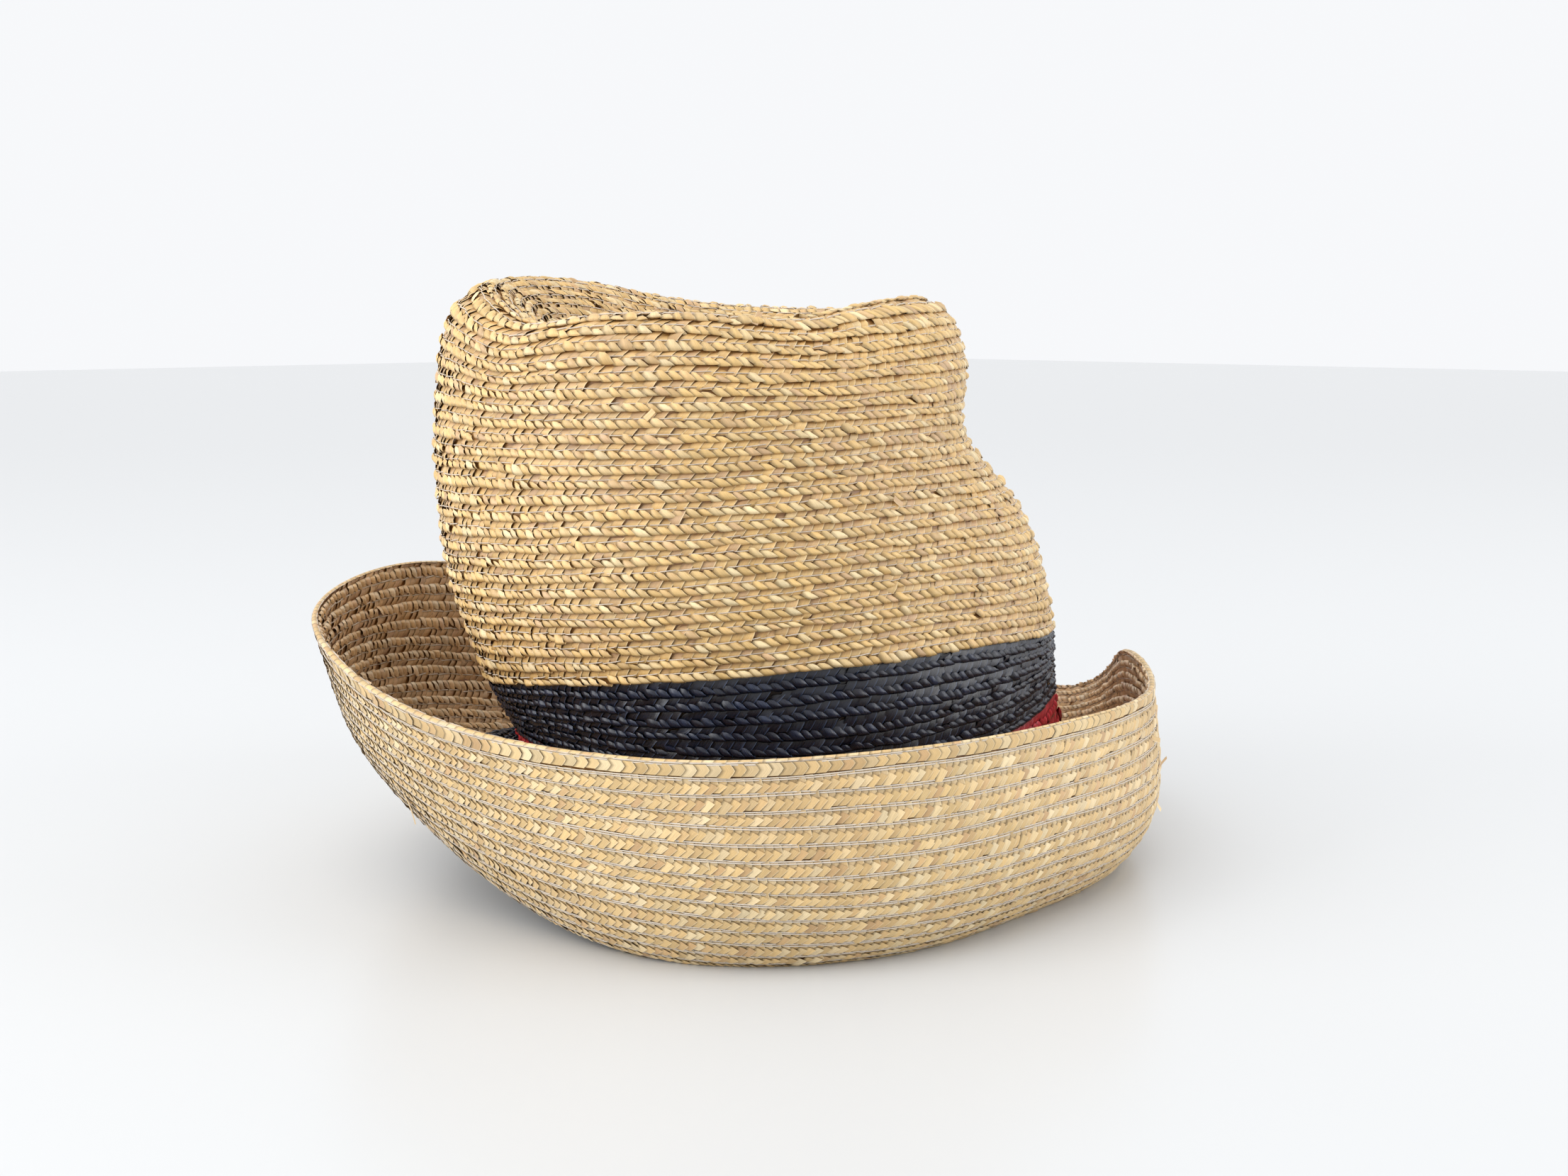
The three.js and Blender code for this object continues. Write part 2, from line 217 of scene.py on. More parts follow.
# %% The fine grid of the wall's middle
grid_rows = np.arange(EDGE, TIP + ROW_STEP / 2, ROW_STEP)
wall_grid = through(knot_rows, knot_rings, grid_rows)
row_shares = (grid_rows[:, None] - NAVY_TOP) / (TIP - NAVY_TOP)
for press_angle, row_share, inward, down, spread, tall in PRESSES:
    aside = (degrees - press_angle + 180) % 360 - 180
    depth = PINCH_DEPTH * np.exp(-((aside / spread) ** 2) - ((row_shares - row_share) / tall) ** 2)
    wall_grid[..., 0] -= inward * depth * np.cos(angle)
    wall_grid[..., 1] -= inward * depth * np.sin(angle)
    wall_grid[..., 2] -= down * depth
wall_grid[..., 2] = np.maximum(wall_grid[..., 2], WALL / 2 - BRIM_DROP)

# %% Normals, and the move into the frame's place
# The outward normal is the way round crossed with the way up the wall. The whole grid then moves so
# that its box stands where the solids' box stands.
ahead = np.concatenate([wall_grid[:, 1:2], wall_grid[:, 2:], wall_grid[:, 1:2]], axis=1)
behind = np.concatenate([wall_grid[:, -2:-1], wall_grid[:, :-2], wall_grid[:, -2:-1]], axis=1)
wall_normals = np.cross(ahead - behind, np.gradient(wall_grid, axis=0))
wall_normals /= np.maximum(np.linalg.norm(wall_normals, axis=2, keepdims=True), 1e-9)
faces = np.concatenate([wall_grid + wall_normals * WALL / 2, wall_grid - wall_normals * WALL / 2])
low, high = faces.min(axis=(0, 1)), faces.max(axis=(0, 1))
cad_low, cad_high = np.array(cad_box) / MM
shift = (cad_low + cad_high - low - high) / 2
shift[2] = cad_low[2] - low[2]
wall_grid += shift
print("The wall moved by", np.round(shift, 1), "mm")
print("Its box is off by", np.round(high - low - cad_high + cad_low, 2), "mm")


# %% Where an angle and a row lie on the wall
def on_wall(at_degrees, at_row):
    column = np.mod(at_degrees, 360) / DEGREE_STEP
    line = np.clip((at_row - EDGE) / ROW_STEP, 0, len(grid_rows) - 1.001)
    i, j = line.astype(int), np.minimum(column.astype(int), len(degrees) - 2)
    u, v = (line - i)[..., None], (column - j)[..., None]
    weights = ((1 - u) * (1 - v), (1 - u) * v, u * (1 - v), u * v)
    corners = ((i, j), (i, j + 1), (i + 1, j), (i + 1, j + 1))
    place = sum(w * wall_grid[c] for w, c in zip(weights, corners))
    out = sum(w * wall_normals[c] for w, c in zip(weights, corners))
    return place, out


# %% [markdown]
# The spiral of braid
#
# The braid climbs by one row in each turn towards the wearer's right, so that every row ends where
# the next one starts. Inside the crease the sections are far apart, so more rows of braid fit
# between them there. Separate closed rings would be simpler, but the spiral gives the colour
# changes the small step that a sewn hat has, here on the far side of the hat.

# %% Rows of braid and where they run
BRAID_EDGE = -26  # the first row starts here and tapers in over one turn
CREST = 35  # from here to the tip the braid's rows are closer than the sections' rows
BRAID_TIP = 50
SPLICE = 45.0  # degrees from the front where one turn ends and the next begins
LAP = 90  # degrees by which a row's path runs on past its ends, for the leaves that lean over them
CELL = 3.5  # millimetres of braid from one leaf to the next


def climb(at_degrees):
    return 0.5 - (at_degrees - SPLICE) / 360


def section_row(braid_row):
    return np.interp(braid_row, [EDGE, CREST, BRAID_TIP], [EDGE, CREST, TIP])


WAVES = np.array([2, 3, 5, 8, 13])  # a sewn seam wanders a little, in this many waves a turn
WAVE_ROWS = np.array([0.04, 0.04, 0.04, 0.03, 0.03])  # by this much of a row
CALM = 6  # the seams run true at the splice; a higher number lets them stray closer to it
wave_starts = chance.uniform(0, 2 * math.pi, (BRAID_TIP - BRAID_EDGE + 1, len(WAVES)))


def wander(seam, at_degrees):
    """How far the seam below a row strays; the row above it and the row below it share it."""
    starts = wave_starts[seam - BRAID_EDGE]
    calm = np.clip(CALM * np.abs(np.sin(np.radians(at_degrees - SPLICE) / 2)), 0, 1)
    return calm * sum(
        size * np.sin(count * np.radians(at_degrees) + start)
        for count, size, start in zip(WAVES, WAVE_ROWS, starts)
    )


class Row:
    """One turn of the braid, from the splice round to the splice."""

    def __init__(self, number):
        self.number = number
        turn = SPLICE + np.arange(-LAP, 360 + LAP + 1)
        place, _ = on_wall(turn, self.height(turn, 0.5))
        steps = np.linalg.norm(np.diff(place, axis=0), axis=1)
        travelled = np.concatenate([[0], np.cumsum(steps)])
        self.along = travelled - travelled[LAP]
        self.length = self.along[LAP + 360]
        self.cells = max(int(round(self.length / CELL)), 3)
        self.turn = turn
        lower, _ = on_wall(turn, self.height(turn, 0))
        upper, _ = on_wall(turn, self.height(turn, 1))
        self.width = max(np.linalg.norm(upper - lower, axis=1).mean(), 1.0)

    def height(self, at_degrees, share):
        below, above = (wander(seam, at_degrees) for seam in (self.number, self.number + 1))
        strays = below + share * (above - below)
        return section_row(self.number + climb(at_degrees) + share + strays)

    def turn_at(self, cell):
        return np.interp(cell * self.length / self.cells, self.along, self.turn)

    def share_of_row(self, at_degrees):
        """How much of the row's width is there: the first row tapers in."""
        bottom = np.maximum(self.number + climb(at_degrees), EDGE)
        return self.number + climb(at_degrees) + 1 - bottom

    def place(self, cell, share, lift):
        """Points at a distance in cells along the row, a share of its width, and a lift in mm."""
        at_degrees = self.turn_at(cell)
        row = self.height(at_degrees, share)
        point, out = on_wall(at_degrees, row)
        return point + out * lift[..., None]


TIP_LEAN = 0.9  # cells that a leaf leans on past its own, so the first one starts so far before


class TipRow:
    """The straight first piece of braid, which closes the slot at the middle of the spiral."""

    def __init__(self):
        ends, _ = on_wall(np.array([0.0, 180.0]), np.array([float(TIP), float(TIP)]))
        self.cells = max(int(np.linalg.norm(ends[1] - ends[0]) / CELL), 3)

    def turn_at(self, cell):
        share = (np.asarray(cell) - TIP_LEAN) / (self.cells - TIP_LEAN)
        return np.degrees(np.arccos(np.clip(1 - 2 * share, -1, 1)))

    def share_of_row(self, at_degrees):
        return np.ones_like(at_degrees)

    def place(self, cell, share, lift):
        turn = self.turn_at(cell)
        near, _ = on_wall(turn, np.full(turn.shape, float(TIP)))
        far, _ = on_wall(-turn, np.full(turn.shape, float(TIP)))
        middle = near + (far - near) * np.broadcast_to(share, turn.shape)[..., None]
        return middle + np.array([0.0, 0.0, 1.0]) * np.broadcast_to(lift, turn.shape)[..., None]


braid_rows = [Row(number) for number in range(BRAID_EDGE, BRAID_TIP)]
tip_row = TipRow()
metres = sum(row.length for row in braid_rows) * MM
print(len(braid_rows), "rows,", round(metres, 1), "m of braid")
print(sum(row.cells for row in braid_rows), "leaves on each side")

# %% [markdown]
# One leaf of straw
#
# Where a straw turns over at the braid's border it makes a small folded leaf. On the hat's outer
# face each row shows two zones: a raised ridge of leaves that lean back, and above it the slanting
# teeth that run under the next row. On the underside the rows lie nearly flush, with pointed
# leaves. Each kind is one template: a small grid of points given along the row, across it and off
# the wall. The points of different leaves aren't joined, so that each straw keeps a crisp border.


# %% A grid template
def template(columns, lines, along, across, lift, hidden=0.0):
    """columns run across the leaf, lines along it; the three functions place a grid point.

    hidden is the share of the leaf's dark border that its neighbour covers."""
    u, w = np.meshgrid(columns, lines)
    u, w = u.ravel(), w.ravel()
    quads = []
    for line in range(len(lines) - 1):
        for column in range(len(columns) - 1):
            corner = line * len(columns) + column
            quads.append((corner, corner + 1, corner + len(columns) + 1, corner + len(columns)))
    lean = along(np.zeros_like(u), w)
    return {
        "u": u,
        "w": w,
        "lean": lean,  # where the leaf starts on this line, and how far its own width carries on
        "reach": along(u, w) - lean,
        "across": across(u, w),
        "lift": lift(u, w),
        "leaf": np.stack([hidden + (1 - hidden) * u, w], axis=1),
        "quads": np.array(quads),
    }


# %% The ridge leaf of the outer face
# Every leaf starts low under its neighbour, swells, and ends in a lip that closes over the next
# one. Its lower edge stands proud of the row below, so the rows cast shadows on each other.
BROW_LOW = 0.38  # share of the row's width that the ridge takes between two leaves
BROW_SWELL = 0.21  # and what the middle of a leaf adds to it
RIDGE_LEAN = 0.45  # cells that the leaf's foot runs ahead of its top
RIDGE_HEIGHT = 1.65  # millimetres off the middle of the wall
RIDGE_TUCK = -0.1  # the line that turns back under the leaf
TUCK_LIFT = 0.1
FOOT_SWELL = 0.92  # share of the height along the foot, which runs on from leaf to leaf
SWELL = ((0, 0.3, 0.7, 1), (0.36, 0.88, 1, 0.66))  # along the rest of the leaf


def ridge_along(u, w):
    return 1.08 * u + RIDGE_LEAN * np.clip(1 - w, 0, 1) ** 1.15


def ridge_across(u, w):
    belly = np.sin(np.pi * np.clip(u, 0, 1) ** 0.85)
    foot = 0.02 - 0.025 * belly
    brow = BROW_LOW + BROW_SWELL * belly
    return foot + (brow - foot) * np.clip(w, 0, 1) + np.where(w < 0, 0.09, 0)


def ridge_lift(u, w):
    over_row = np.sin(np.pi * (0.2 + 0.62 * np.clip(w, 0, 1))) ** 0.8
    swell = FOOT_SWELL + (np.interp(u, *SWELL) - FOOT_SWELL) * np.clip(2 * w, 0, 1)
    return np.where(w < 0, TUCK_LIFT, RIDGE_HEIGHT * over_row * swell)


ridge_leaf = template(
    (0, 0.3, 0.7, 1), (RIDGE_TUCK, 0, 0.35, 0.7, 1), ridge_along, ridge_across, ridge_lift
)

# %% The tooth of the outer face
# Teeth bulge between two dark lines: one at the ridge below them, one under the ridge above. Each line
# is the ridges' own shadow, deepened by painted crevice shade where the teeth sink low.
TOOTH_LEAN = 0.85


def tooth_lift(u, w):
    bulge = 0.16 + 0.5 * np.sin(np.pi * (0.05 + 0.8 * w)) - 0.4 * w**2
    return bulge + 0.27 * u**0.6


tooth_leaf = template(
    (0, 0.4, 1),
    (0, 0.45, 1),
    lambda u, w: 1.05 * u + TOOTH_LEAN * w,
    lambda u, w: 0.42 + 0.68 * w,
    tooth_lift,
    hidden=0.13,
)

# %% The leaf and the pale wedge of the underside
# On the underside the lift is negative, and the leaf points towards the brim's edge.
UNDER_LEAN = 0.85


def under_across(u, w):
    return 0.98 - 0.7 * w * (1 - 0.36 * u**1.3)


def under_lift(u, w):
    return -(0.55 + 0.25 * np.sin(np.pi * (0.15 + 0.6 * w)) + 0.38 * u**0.8)


under_leaf = template(
    (0, 0.3, 0.7, 1),
    (0, 0.3, 0.7, 1),
    lambda u, w: u * (1 + 0.06 * w) + UNDER_LEAN * w,
    under_across,
    under_lift,
)
wedge_leaf = template(
    (0, 1),
    (0, 1),
    lambda u, w: 1.02 * u - 0.3 * w,
    lambda u, w: 0.6 - 0.62 * w,
    lambda u, w: -(0.55 + 0.16 * u),
)

# %% The rim's own leaves
# The last row shows its full width, with leaves that point along the rim, and its border straws
# fold over the very edge. A fold's across is millimetres beyond the edge, not a share of the row.
EDGE_HEIGHT = 0.95
rim_leaf = template(
    (0, 0.5, 1),
    (0, 0.22, 0.45, 0.72, 1),
    lambda u, w: u * 1.03 + 0.45 * (1 - np.abs((w - 0.45) / 0.55) ** 1.3),
    lambda u, w: 0.1 + 0.8 * w,
    lambda u, w: -(0.85 + 0.16 * np.sin(np.pi * w) + 0.12 * u),
)
edge_leaf = template(
    (0, 0.5, 1),
    (0, 0.25, 0.5, 0.75, 1),
    lambda u, w: u * 1.05 - 0.35 * w,
    lambda u, w: 0.45 - 1.9 * np.abs(w - 0.5) ** 1.5,
    lambda u, w: EDGE_HEIGHT * np.cos(np.pi * w),
)


# %% The plain sheet that closes the inside of the tip
# At no lift it takes the full painted crevice shade.
tip_sheet = template((0, 1), (0, 1), lambda u, w: u, lambda u, w: w, lambda u, w: 0 * u)


# %% Laying leaves along a row
class Patches:
    """Leaf after leaf, gathered as points, faces, leaf coordinates, tones and depths."""

    def __init__(self):
        self.points, self.quads, self.leaf, self.tone, self.depth = [], [], [], [], []
        self.count = 0

    def add(self, points, quads, leaf, tone, depth):
        """tone is one number a leaf, depth one a point of the template: 0 proud, 1 in a crevice."""
        # depth sets how much painted crevice shade the finish puts on a point.
        each = points.shape[1]
        starts = self.count + np.arange(len(points)) * each
        self.points.append(points.reshape(-1, 3))
        self.quads.append((quads[None] + starts[:, None, None]).reshape(-1, quads.shape[1]))
        self.leaf.append(np.tile(leaf, (len(points), 1)))
        self.tone.append(np.repeat(tone, each))
        self.depth.append(np.tile(np.broadcast_to(depth, each), len(points)))
        self.count += len(points) * each


# %% A tone for every straw
STRAWS = 7  # in the braid; one straw comes back to the same border every seventh leaf
STRAW_TURNS = 4  # times that a straw comes back before another takes its place


def strand_tones(cells):
    stretch = np.arange(cells) // (STRAWS * STRAW_TURNS)
    straw_now = np.arange(cells) * 3 % STRAWS
    own = chance.random((stretch[-1] + 1, STRAWS))[stretch, straw_now]
    return np.clip(0.6 * own + 0.4 * chance.random(cells), 0, 1)


# %% One template on every cell of a row
LEAST_SHARE = 0.25  # of a row's width; narrower, the braid's tapered start holds no leaf
UNRULY = 0.1  # share of the leaves that lie twice as unevenly as the rest
PROUD = 0.9  # millimetres of lift where a leaf is fully out of the crevices and their painted shade
BORDER_LIMIT = 0.2  # cells that the border between two leaves strays at most
STRAY = 0.4  # how strongly roughness shifts a leaf across its row
TIPPING = 4.0  # and how strongly it tips the leaf's ends off the wall, in millimetres


def lay(patches, row, shape, flip=False, lift=0.0, rough=0.03, tones=(0.0, 1.0), pace=1.0):
    """flip turns the faces to the underside; tones is the range that the leaves' tones are put in;
    pace is how many leaves lie on a cell of the braid."""
    count = int(row.cells * pace)
    cell = row.cells / count
    tone = tones[0] + (tones[1] - tones[0]) * strand_tones(count)
    uneven = np.clip(chance.normal(0, rough, count + 1), -BORDER_LIMIT, BORDER_LIMIT)
    border = np.arange(count + 1) + uneven
    shake = np.clip(chance.normal(0, rough, (4, count)), -2 * rough, 2 * rough)
    shake *= np.where(chance.random(count) < UNRULY, 2, 1)
    there = row.share_of_row(row.turn_at(np.arange(count) * cell)) > LEAST_SHARE
    if not there.any():
        return
    start, width, tone = (part[there] for part in (border[:-1], np.diff(border), tone))
    swell, stray, tilt, roll = shake[:, there, None]
    along = start[:, None] + shape["lean"] + width[:, None] * shape["reach"]
    across = shape["across"] * (1 + swell) + STRAY * stray
    height = shape["lift"] * (1 + 2 * swell) + lift
    tipped = TIPPING * tilt * (shape["u"] - 0.5) + TIPPING * roll * (shape["w"] - 0.5)
    height += np.sign(shape["lift"]) * tipped
    points = row.place(along * cell, across, height)
    quads = shape["quads"][:, ::-1] if flip else shape["quads"]
    # The finish paints shade into the crevices by this depth: full at the wall's middle, none from
    # PROUD millimetres out.
    depth = np.clip(1 - np.abs(shape["lift"]) / PROUD, 0, 1)
    patches.add(points, quads, shape["leaf"], tone, depth)


def lay_edge(patches, row):
    """Folds a leaf over the edge of the brim at every cell of its last row."""
    cells = np.arange(row.cells)
    turn = row.turn_at(cells[:, None] + edge_leaf["lean"] + edge_leaf["reach"])
    rim, out = on_wall(turn, np.full(turn.shape, float(EDGE)))
    inland, _ = on_wall(turn, np.full(turn.shape, EDGE + 0.5))
    away = rim - inland
    away /= np.linalg.norm(away, axis=-1, keepdims=True)
    points = rim + away * edge_leaf["across"][:, None] + out * edge_leaf["lift"][:, None]
    patches.add(points, edge_leaf["quads"][:, ::-1], edge_leaf["leaf"], strand_tones(row.cells), 0.0)


# %% Loose ends
# Where a new straw was laid into the braid, the old one's end sometimes sticks out. The columns are:
# angle, row, length in mm, turn from the row in degrees, and rise off the wall in mm. The rise is
# negative on the underside.
CROWN_ENDS = ((238, 34, 5, 70, 2.5), (262, 20.6, 5, 150, 1.6), (214, 27.6, 4, 40, 1.5))
BRIM_ENDS = (
    (168, -15.8, 9, 60, -3),
    (299, -21.9, 4, 30, -2),
    (303, -19.1, 5, -40, -2.5),
    (305, -16.3, 4, 60, -2),
)
RED_ENDS = ((300, 1.6, 5, -20, 2.5),)
END_WIDTH = 1.8
END_STEPS = np.linspace(0, 1, 5)


def lay_end(patches, at_degrees, row, length, lean, rise):
    """One narrow curling strip that stands off the wall."""
    base, out = (part[0] for part in on_wall(np.array([at_degrees]), np.array([row])))
    ahead = on_wall(np.array([at_degrees + 1.0]), np.array([row]))[0][0] - base
    upward = on_wall(np.array([at_degrees]), np.array([row + 0.5]))[0][0] - base
    ahead, upward = (part / np.linalg.norm(part) for part in (ahead, upward))
    run = math.cos(math.radians(lean)) * ahead + math.sin(math.radians(lean)) * upward
    side = np.cross(out, run) * END_WIDTH / 2
    start = base + math.copysign(1.0, rise) * out
    middle = start + END_STEPS[:, None] * length * run + END_STEPS[:, None] ** 1.5 * rise * out
    points = np.stack([middle - side, middle + side], axis=1).reshape(1, -1, 3)
    quads = np.array([(2 * i, 2 * i + 1, 2 * i + 3, 2 * i + 2) for i in range(len(END_STEPS) - 1)])
    leaf = np.stack([np.tile([0.4, 1.0], len(END_STEPS)), np.repeat(END_STEPS, 2)], axis=1)
    patches.add(points, quads, leaf, chance.random(1), 0.0)


# %% From patches to a Blender mesh
def make_mesh(name, patches, material):
    points = np.concatenate(patches.points) * MM
    points[:, 2] = np.maximum(points[:, 2], 0)  # nothing sinks into the table
    quads = np.concatenate(patches.quads)
    mesh = bpy.data.meshes.new(name)
    mesh.vertices.add(len(points))
    mesh.vertices.foreach_set("co", points.astype(np.float32).ravel())
    mesh.loops.add(quads.size)
    mesh.loops.foreach_set("vertex_index", quads.astype(np.int32).ravel())
    mesh.polygons.add(len(quads))
    sides = quads.shape[1]
    mesh.polygons.foreach_set("loop_start", np.arange(0, quads.size, sides, dtype=np.int32))
    mesh.polygons.foreach_set("use_smooth", np.ones(len(quads), bool))
    leaf = mesh.uv_layers.new(name="leaf")
    leaf.data.foreach_set("uv", np.concatenate(patches.leaf)[quads.ravel()].astype(np.float32).ravel())
    for label, values in (("tone", patches.tone), ("depth", patches.depth)):
        attribute = mesh.attributes.new(label, "FLOAT", "POINT")
        attribute.data.foreach_set("value", np.concatenate(values).astype(np.float32))
    mesh.update()
    mesh.validate()
    mesh.materials.append(material)
    piece = bpy.data.objects.new(name, mesh)
    bpy.context.scene.collection.objects.link(piece)
    print(name, "has", len(quads) * (sides - 2), "triangles")
    return piece


# %% [markdown]
# Thread
#
# The braid was sewn with a lockstitch in pale cotton. On the outer face one stitch after another
# climbs a little and dives into the braid, just above each ridge; on the underside the stitches
# run as doubled lines. Curves with a bevel would do, but thousands of them are heavy, so each
# stitch is a three-sided tube in one joined mesh.

# %% Stitches along a row
THREAD_RADIUS = 0.23
STITCH_CELLS = 2.1  # cells of braid that one stitch of the outer face spans
UNDER_STITCH_CELLS = 3.1
THREAD_SIDES = 3
STITCH_STEPS = np.array([0, 0.14, 0.86, 1])
STITCH_SLIP = 0.1  # cells that a stitch strays along the row
STITCH_BOB = 0.04  # millimetres that it strays off the wall


def tube_quads(steps):
    quads = []
    for step in range(steps - 1):
        for side in range(THREAD_SIDES):
            after = (side + 1) % THREAD_SIDES
            low, high = step * THREAD_SIDES, (step + 1) * THREAD_SIDES
            quads.append((low + side, low + after, high + after, high + side))
    return np.array(quads)


def stitch(
    patches, row, share, rise, lift, span_cells=STITCH_CELLS, offset=0.0, reach=0.95, loose=0.05
):
    """One run of stitches at a share of the row's width, each spanning a number of cells."""
    count = max(int(row.cells / span_cells), 3)
    span = row.cells / count
    start = (np.arange(count) + offset) * span
    shake = chance.normal(0, 1, (4, len(start), 1))
    arch = np.sin(np.pi * STITCH_STEPS) ** 0.35
    along = start[:, None] + STITCH_STEPS * span * reach + STITCH_SLIP * shake[0]
    slope = rise + loose * shake[1]
    across = share + slope * (STITCH_STEPS - 0.5) + 0.05 * np.abs(rise) * arch + 0.4 * loose * shake[2]
    height = lift * (0.4 + 0.6 * arch) + STITCH_BOB * shake[3]
    rings = []
    for side in range(THREAD_SIDES):
        turn = 2 * math.pi * side / THREAD_SIDES + math.pi / 2
        over = np.broadcast_to(across + math.cos(turn) * THREAD_RADIUS / row.width, along.shape)
        rings.append(row.place(along, over, height + math.sin(turn) * THREAD_RADIUS))
    points = np.stack(rings, axis=2).reshape(len(start), -1, 3)
    round_thread = np.tile([0, 0.5, 1], len(STITCH_STEPS))
    leaf = np.stack([round_thread, np.repeat(STITCH_STEPS, THREAD_SIDES)], axis=1)
    patches.add(points, tube_quads(len(STITCH_STEPS)), leaf, chance.random(len(start)), 0.0)


# %% [markdown]
# Straw, dye and thread
#
# Split straw is a thin, glossy, fibrous strip: fine streaks run along each leaf, its cut border
# catches the light, and every straw ripened to its own colour, from cream to gold and tan. Painted
# images could carry that, but a procedural finish stays sharp at any distance. Each leaf already
# has its own coordinates (u across it, v along it) and its own random tone, so two node groups turn
# these into streaks, borders and colours, and every material shares them. The borders are painted
# light and shade: a painted highlight on each leaf's lip and a painted shadow where that lip covers
# the next leaf. Deep between the leaves a painted crevice shade darkens the colour as well.

# %% A helper that adds and links nodes
# Inputs go by name or by number. A map range takes the value as 0, the range it comes from as 1 and
# 2 and the one it goes to as 3 and 4. A mix takes its share as 0 and its two colours as 6 and 7.
def add_node(tree, kind, values=None, **settings):
    node = tree.nodes.new(kind)
    for key, value in settings.items():
        setattr(node, key, value)
    for key, value in (values or {}).items():
        if isinstance(value, bpy.types.NodeSocket):
            tree.links.new(value, node.inputs[key])
        else:
            node.inputs[key].default_value = value
    return node


def new_group(name, inputs, outputs):
    group = bpy.data.node_groups.new(name, "ShaderNodeTree")
    for label, kind, value in inputs:
        socket = group.interface.new_socket(label, in_out="INPUT", socket_type=kind)
        socket.default_value = value
    for label, kind in outputs:
        group.interface.new_socket(label, in_out="OUTPUT", socket_type=kind)
    into = group.nodes.new("NodeGroupInput")
    out = group.nodes.new("NodeGroupOutput")
    return group, into.outputs, out.inputs


# %% Streaks and borders of a leaf
# Besides the streaks, the group gives two masks: a painted highlight along the lip where a leaf turns
# over its neighbour, and a painted shadow at the start of the next leaf, where that lip shades it.
FLOAT, COLOR = "NodeSocketFloat", "NodeSocketColor"
fibre_group, given, result = new_group(
    "leaf fibres",
    [("Fibres", FLOAT, 20.0), ("Border", FLOAT, 0.1), ("Shade", FLOAT, 0.36)],
    [("Streak", FLOAT), ("Painted highlight", FLOAT), ("Painted shadow", FLOAT)],
)
tree = fibre_group
leaf_place = add_node(tree, "ShaderNodeUVMap", uv_map="leaf")
leaf_tone = add_node(tree, "ShaderNodeAttribute", attribute_name="tone")
split = add_node(tree, "ShaderNodeSeparateXYZ", {0: leaf_place.outputs[0]})
across = add_node(
    tree, "ShaderNodeMath", {0: split.outputs[0], 1: given["Fibres"]}, operation="MULTIPLY"
)
own = add_node(tree, "ShaderNodeMath", {0: leaf_tone.outputs["Fac"], 1: 371.0}, operation="MULTIPLY")
spot = add_node(
    tree, "ShaderNodeCombineXYZ", {0: across.outputs[0], 1: split.outputs[1], 2: own.outputs[0]}
)
noise = add_node(tree, "ShaderNodeTexNoise", {"Vector": spot.outputs[0], "Scale": 1.0, "Detail": 2.0})
tree.links.new(noise.outputs["Fac"], result["Streak"])
far_side = add_node(tree, "ShaderNodeMath", {0: 1.0, 1: given["Border"]}, operation="SUBTRACT")
# This mask marks each leaf's lip for the painted highlight.
light = add_node(
    tree,
    "ShaderNodeMapRange",
    {0: split.outputs[0], 1: far_side.outputs[0], 2: 1.0},
    interpolation_type="SMOOTHSTEP",
)
# This mask marks the start of each leaf for the painted shadow under its neighbour's lip.
dark = add_node(
    tree,
    "ShaderNodeMapRange",
    {0: split.outputs[0], 1: 0.0, 2: given["Shade"], 3: 1.0, 4: 0.0},
    interpolation_type="SMOOTHSTEP",
)
tree.links.new(light.outputs[0], result["Painted highlight"])
tree.links.new(dark.outputs[0], result["Painted shadow"])

# %% The colour of each straw
# Most straws are golden, the high tones are cream and the low ones tan. A second number drawn from
# the same tone makes each leaf a little lighter or darker than the next.
tone_group, given, result = new_group(
    "straw tones",
    [
        ("Gold", COLOR, (0.5, 0.3, 0.1, 1)),
        ("Cream", COLOR, (0.8, 0.7, 0.5, 1)),
        ("Tan", COLOR, (0.4, 0.22, 0.12, 1)),
        ("Crevice shade", COLOR, (0.6, 0.45, 0.3, 1)),
        ("Patina", FLOAT, 0.3),
    ],
    [("Color", COLOR)],
)
tree = tone_group
leaf_tone = add_node(tree, "ShaderNodeAttribute", attribute_name="tone")
leaf_depth = add_node(tree, "ShaderNodeAttribute", attribute_name="depth")
body_place = add_node(tree, "ShaderNodeTexCoord")
pale = add_node(
    tree,
    "ShaderNodeMapRange",
    {0: leaf_tone.outputs["Fac"], 1: 0.45, 2: 0.95},
    interpolation_type="SMOOTHSTEP",
)
brown = add_node(
    tree,
    "ShaderNodeMapRange",
    {0: leaf_tone.outputs["Fac"], 1: 0.05, 2: 0.4, 3: 1.0, 4: 0.0},
    interpolation_type="SMOOTHSTEP",
)
spun = add_node(tree, "ShaderNodeMath", {0: leaf_tone.outputs["Fac"], 1: 53.0}, operation="MULTIPLY")
second = add_node(tree, "ShaderNodeMath", {0: spun.outputs[0]}, operation="FRACT")
shade_of_leaf = add_node(tree, "ShaderNodeMapRange", {0: second.outputs[0], 3: 0.84, 4: 1.1})
ripe = add_node(
    tree, "ShaderNodeMix", {0: pale.outputs[0], 6: given["Gold"], 7: given["Cream"]}, data_type="RGBA"
)
aged = add_node(
    tree, "ShaderNodeMix", {0: brown.outputs[0], 6: ripe.outputs[2], 7: given["Tan"]}, data_type="RGBA"
)
cloud = add_node(
    tree, "ShaderNodeTexNoise", {"Vector": body_place.outputs["Object"], "Scale": 14.0, "Detail": 3.0}
)
worn = add_node(
    tree,
    "ShaderNodeMapRange",
    {0: cloud.outputs["Fac"], 1: 0.42, 2: 0.72},
    interpolation_type="SMOOTHSTEP",
)
worn_share = add_node(
    tree, "ShaderNodeMath", {0: worn.outputs[0], 1: given["Patina"]}, operation="MULTIPLY"
)
weathered = add_node(
    tree,
    "ShaderNodeMix",
    {0: worn_share.outputs[0], 6: aged.outputs[2], 7: given["Tan"]},
    data_type="RGBA",
)
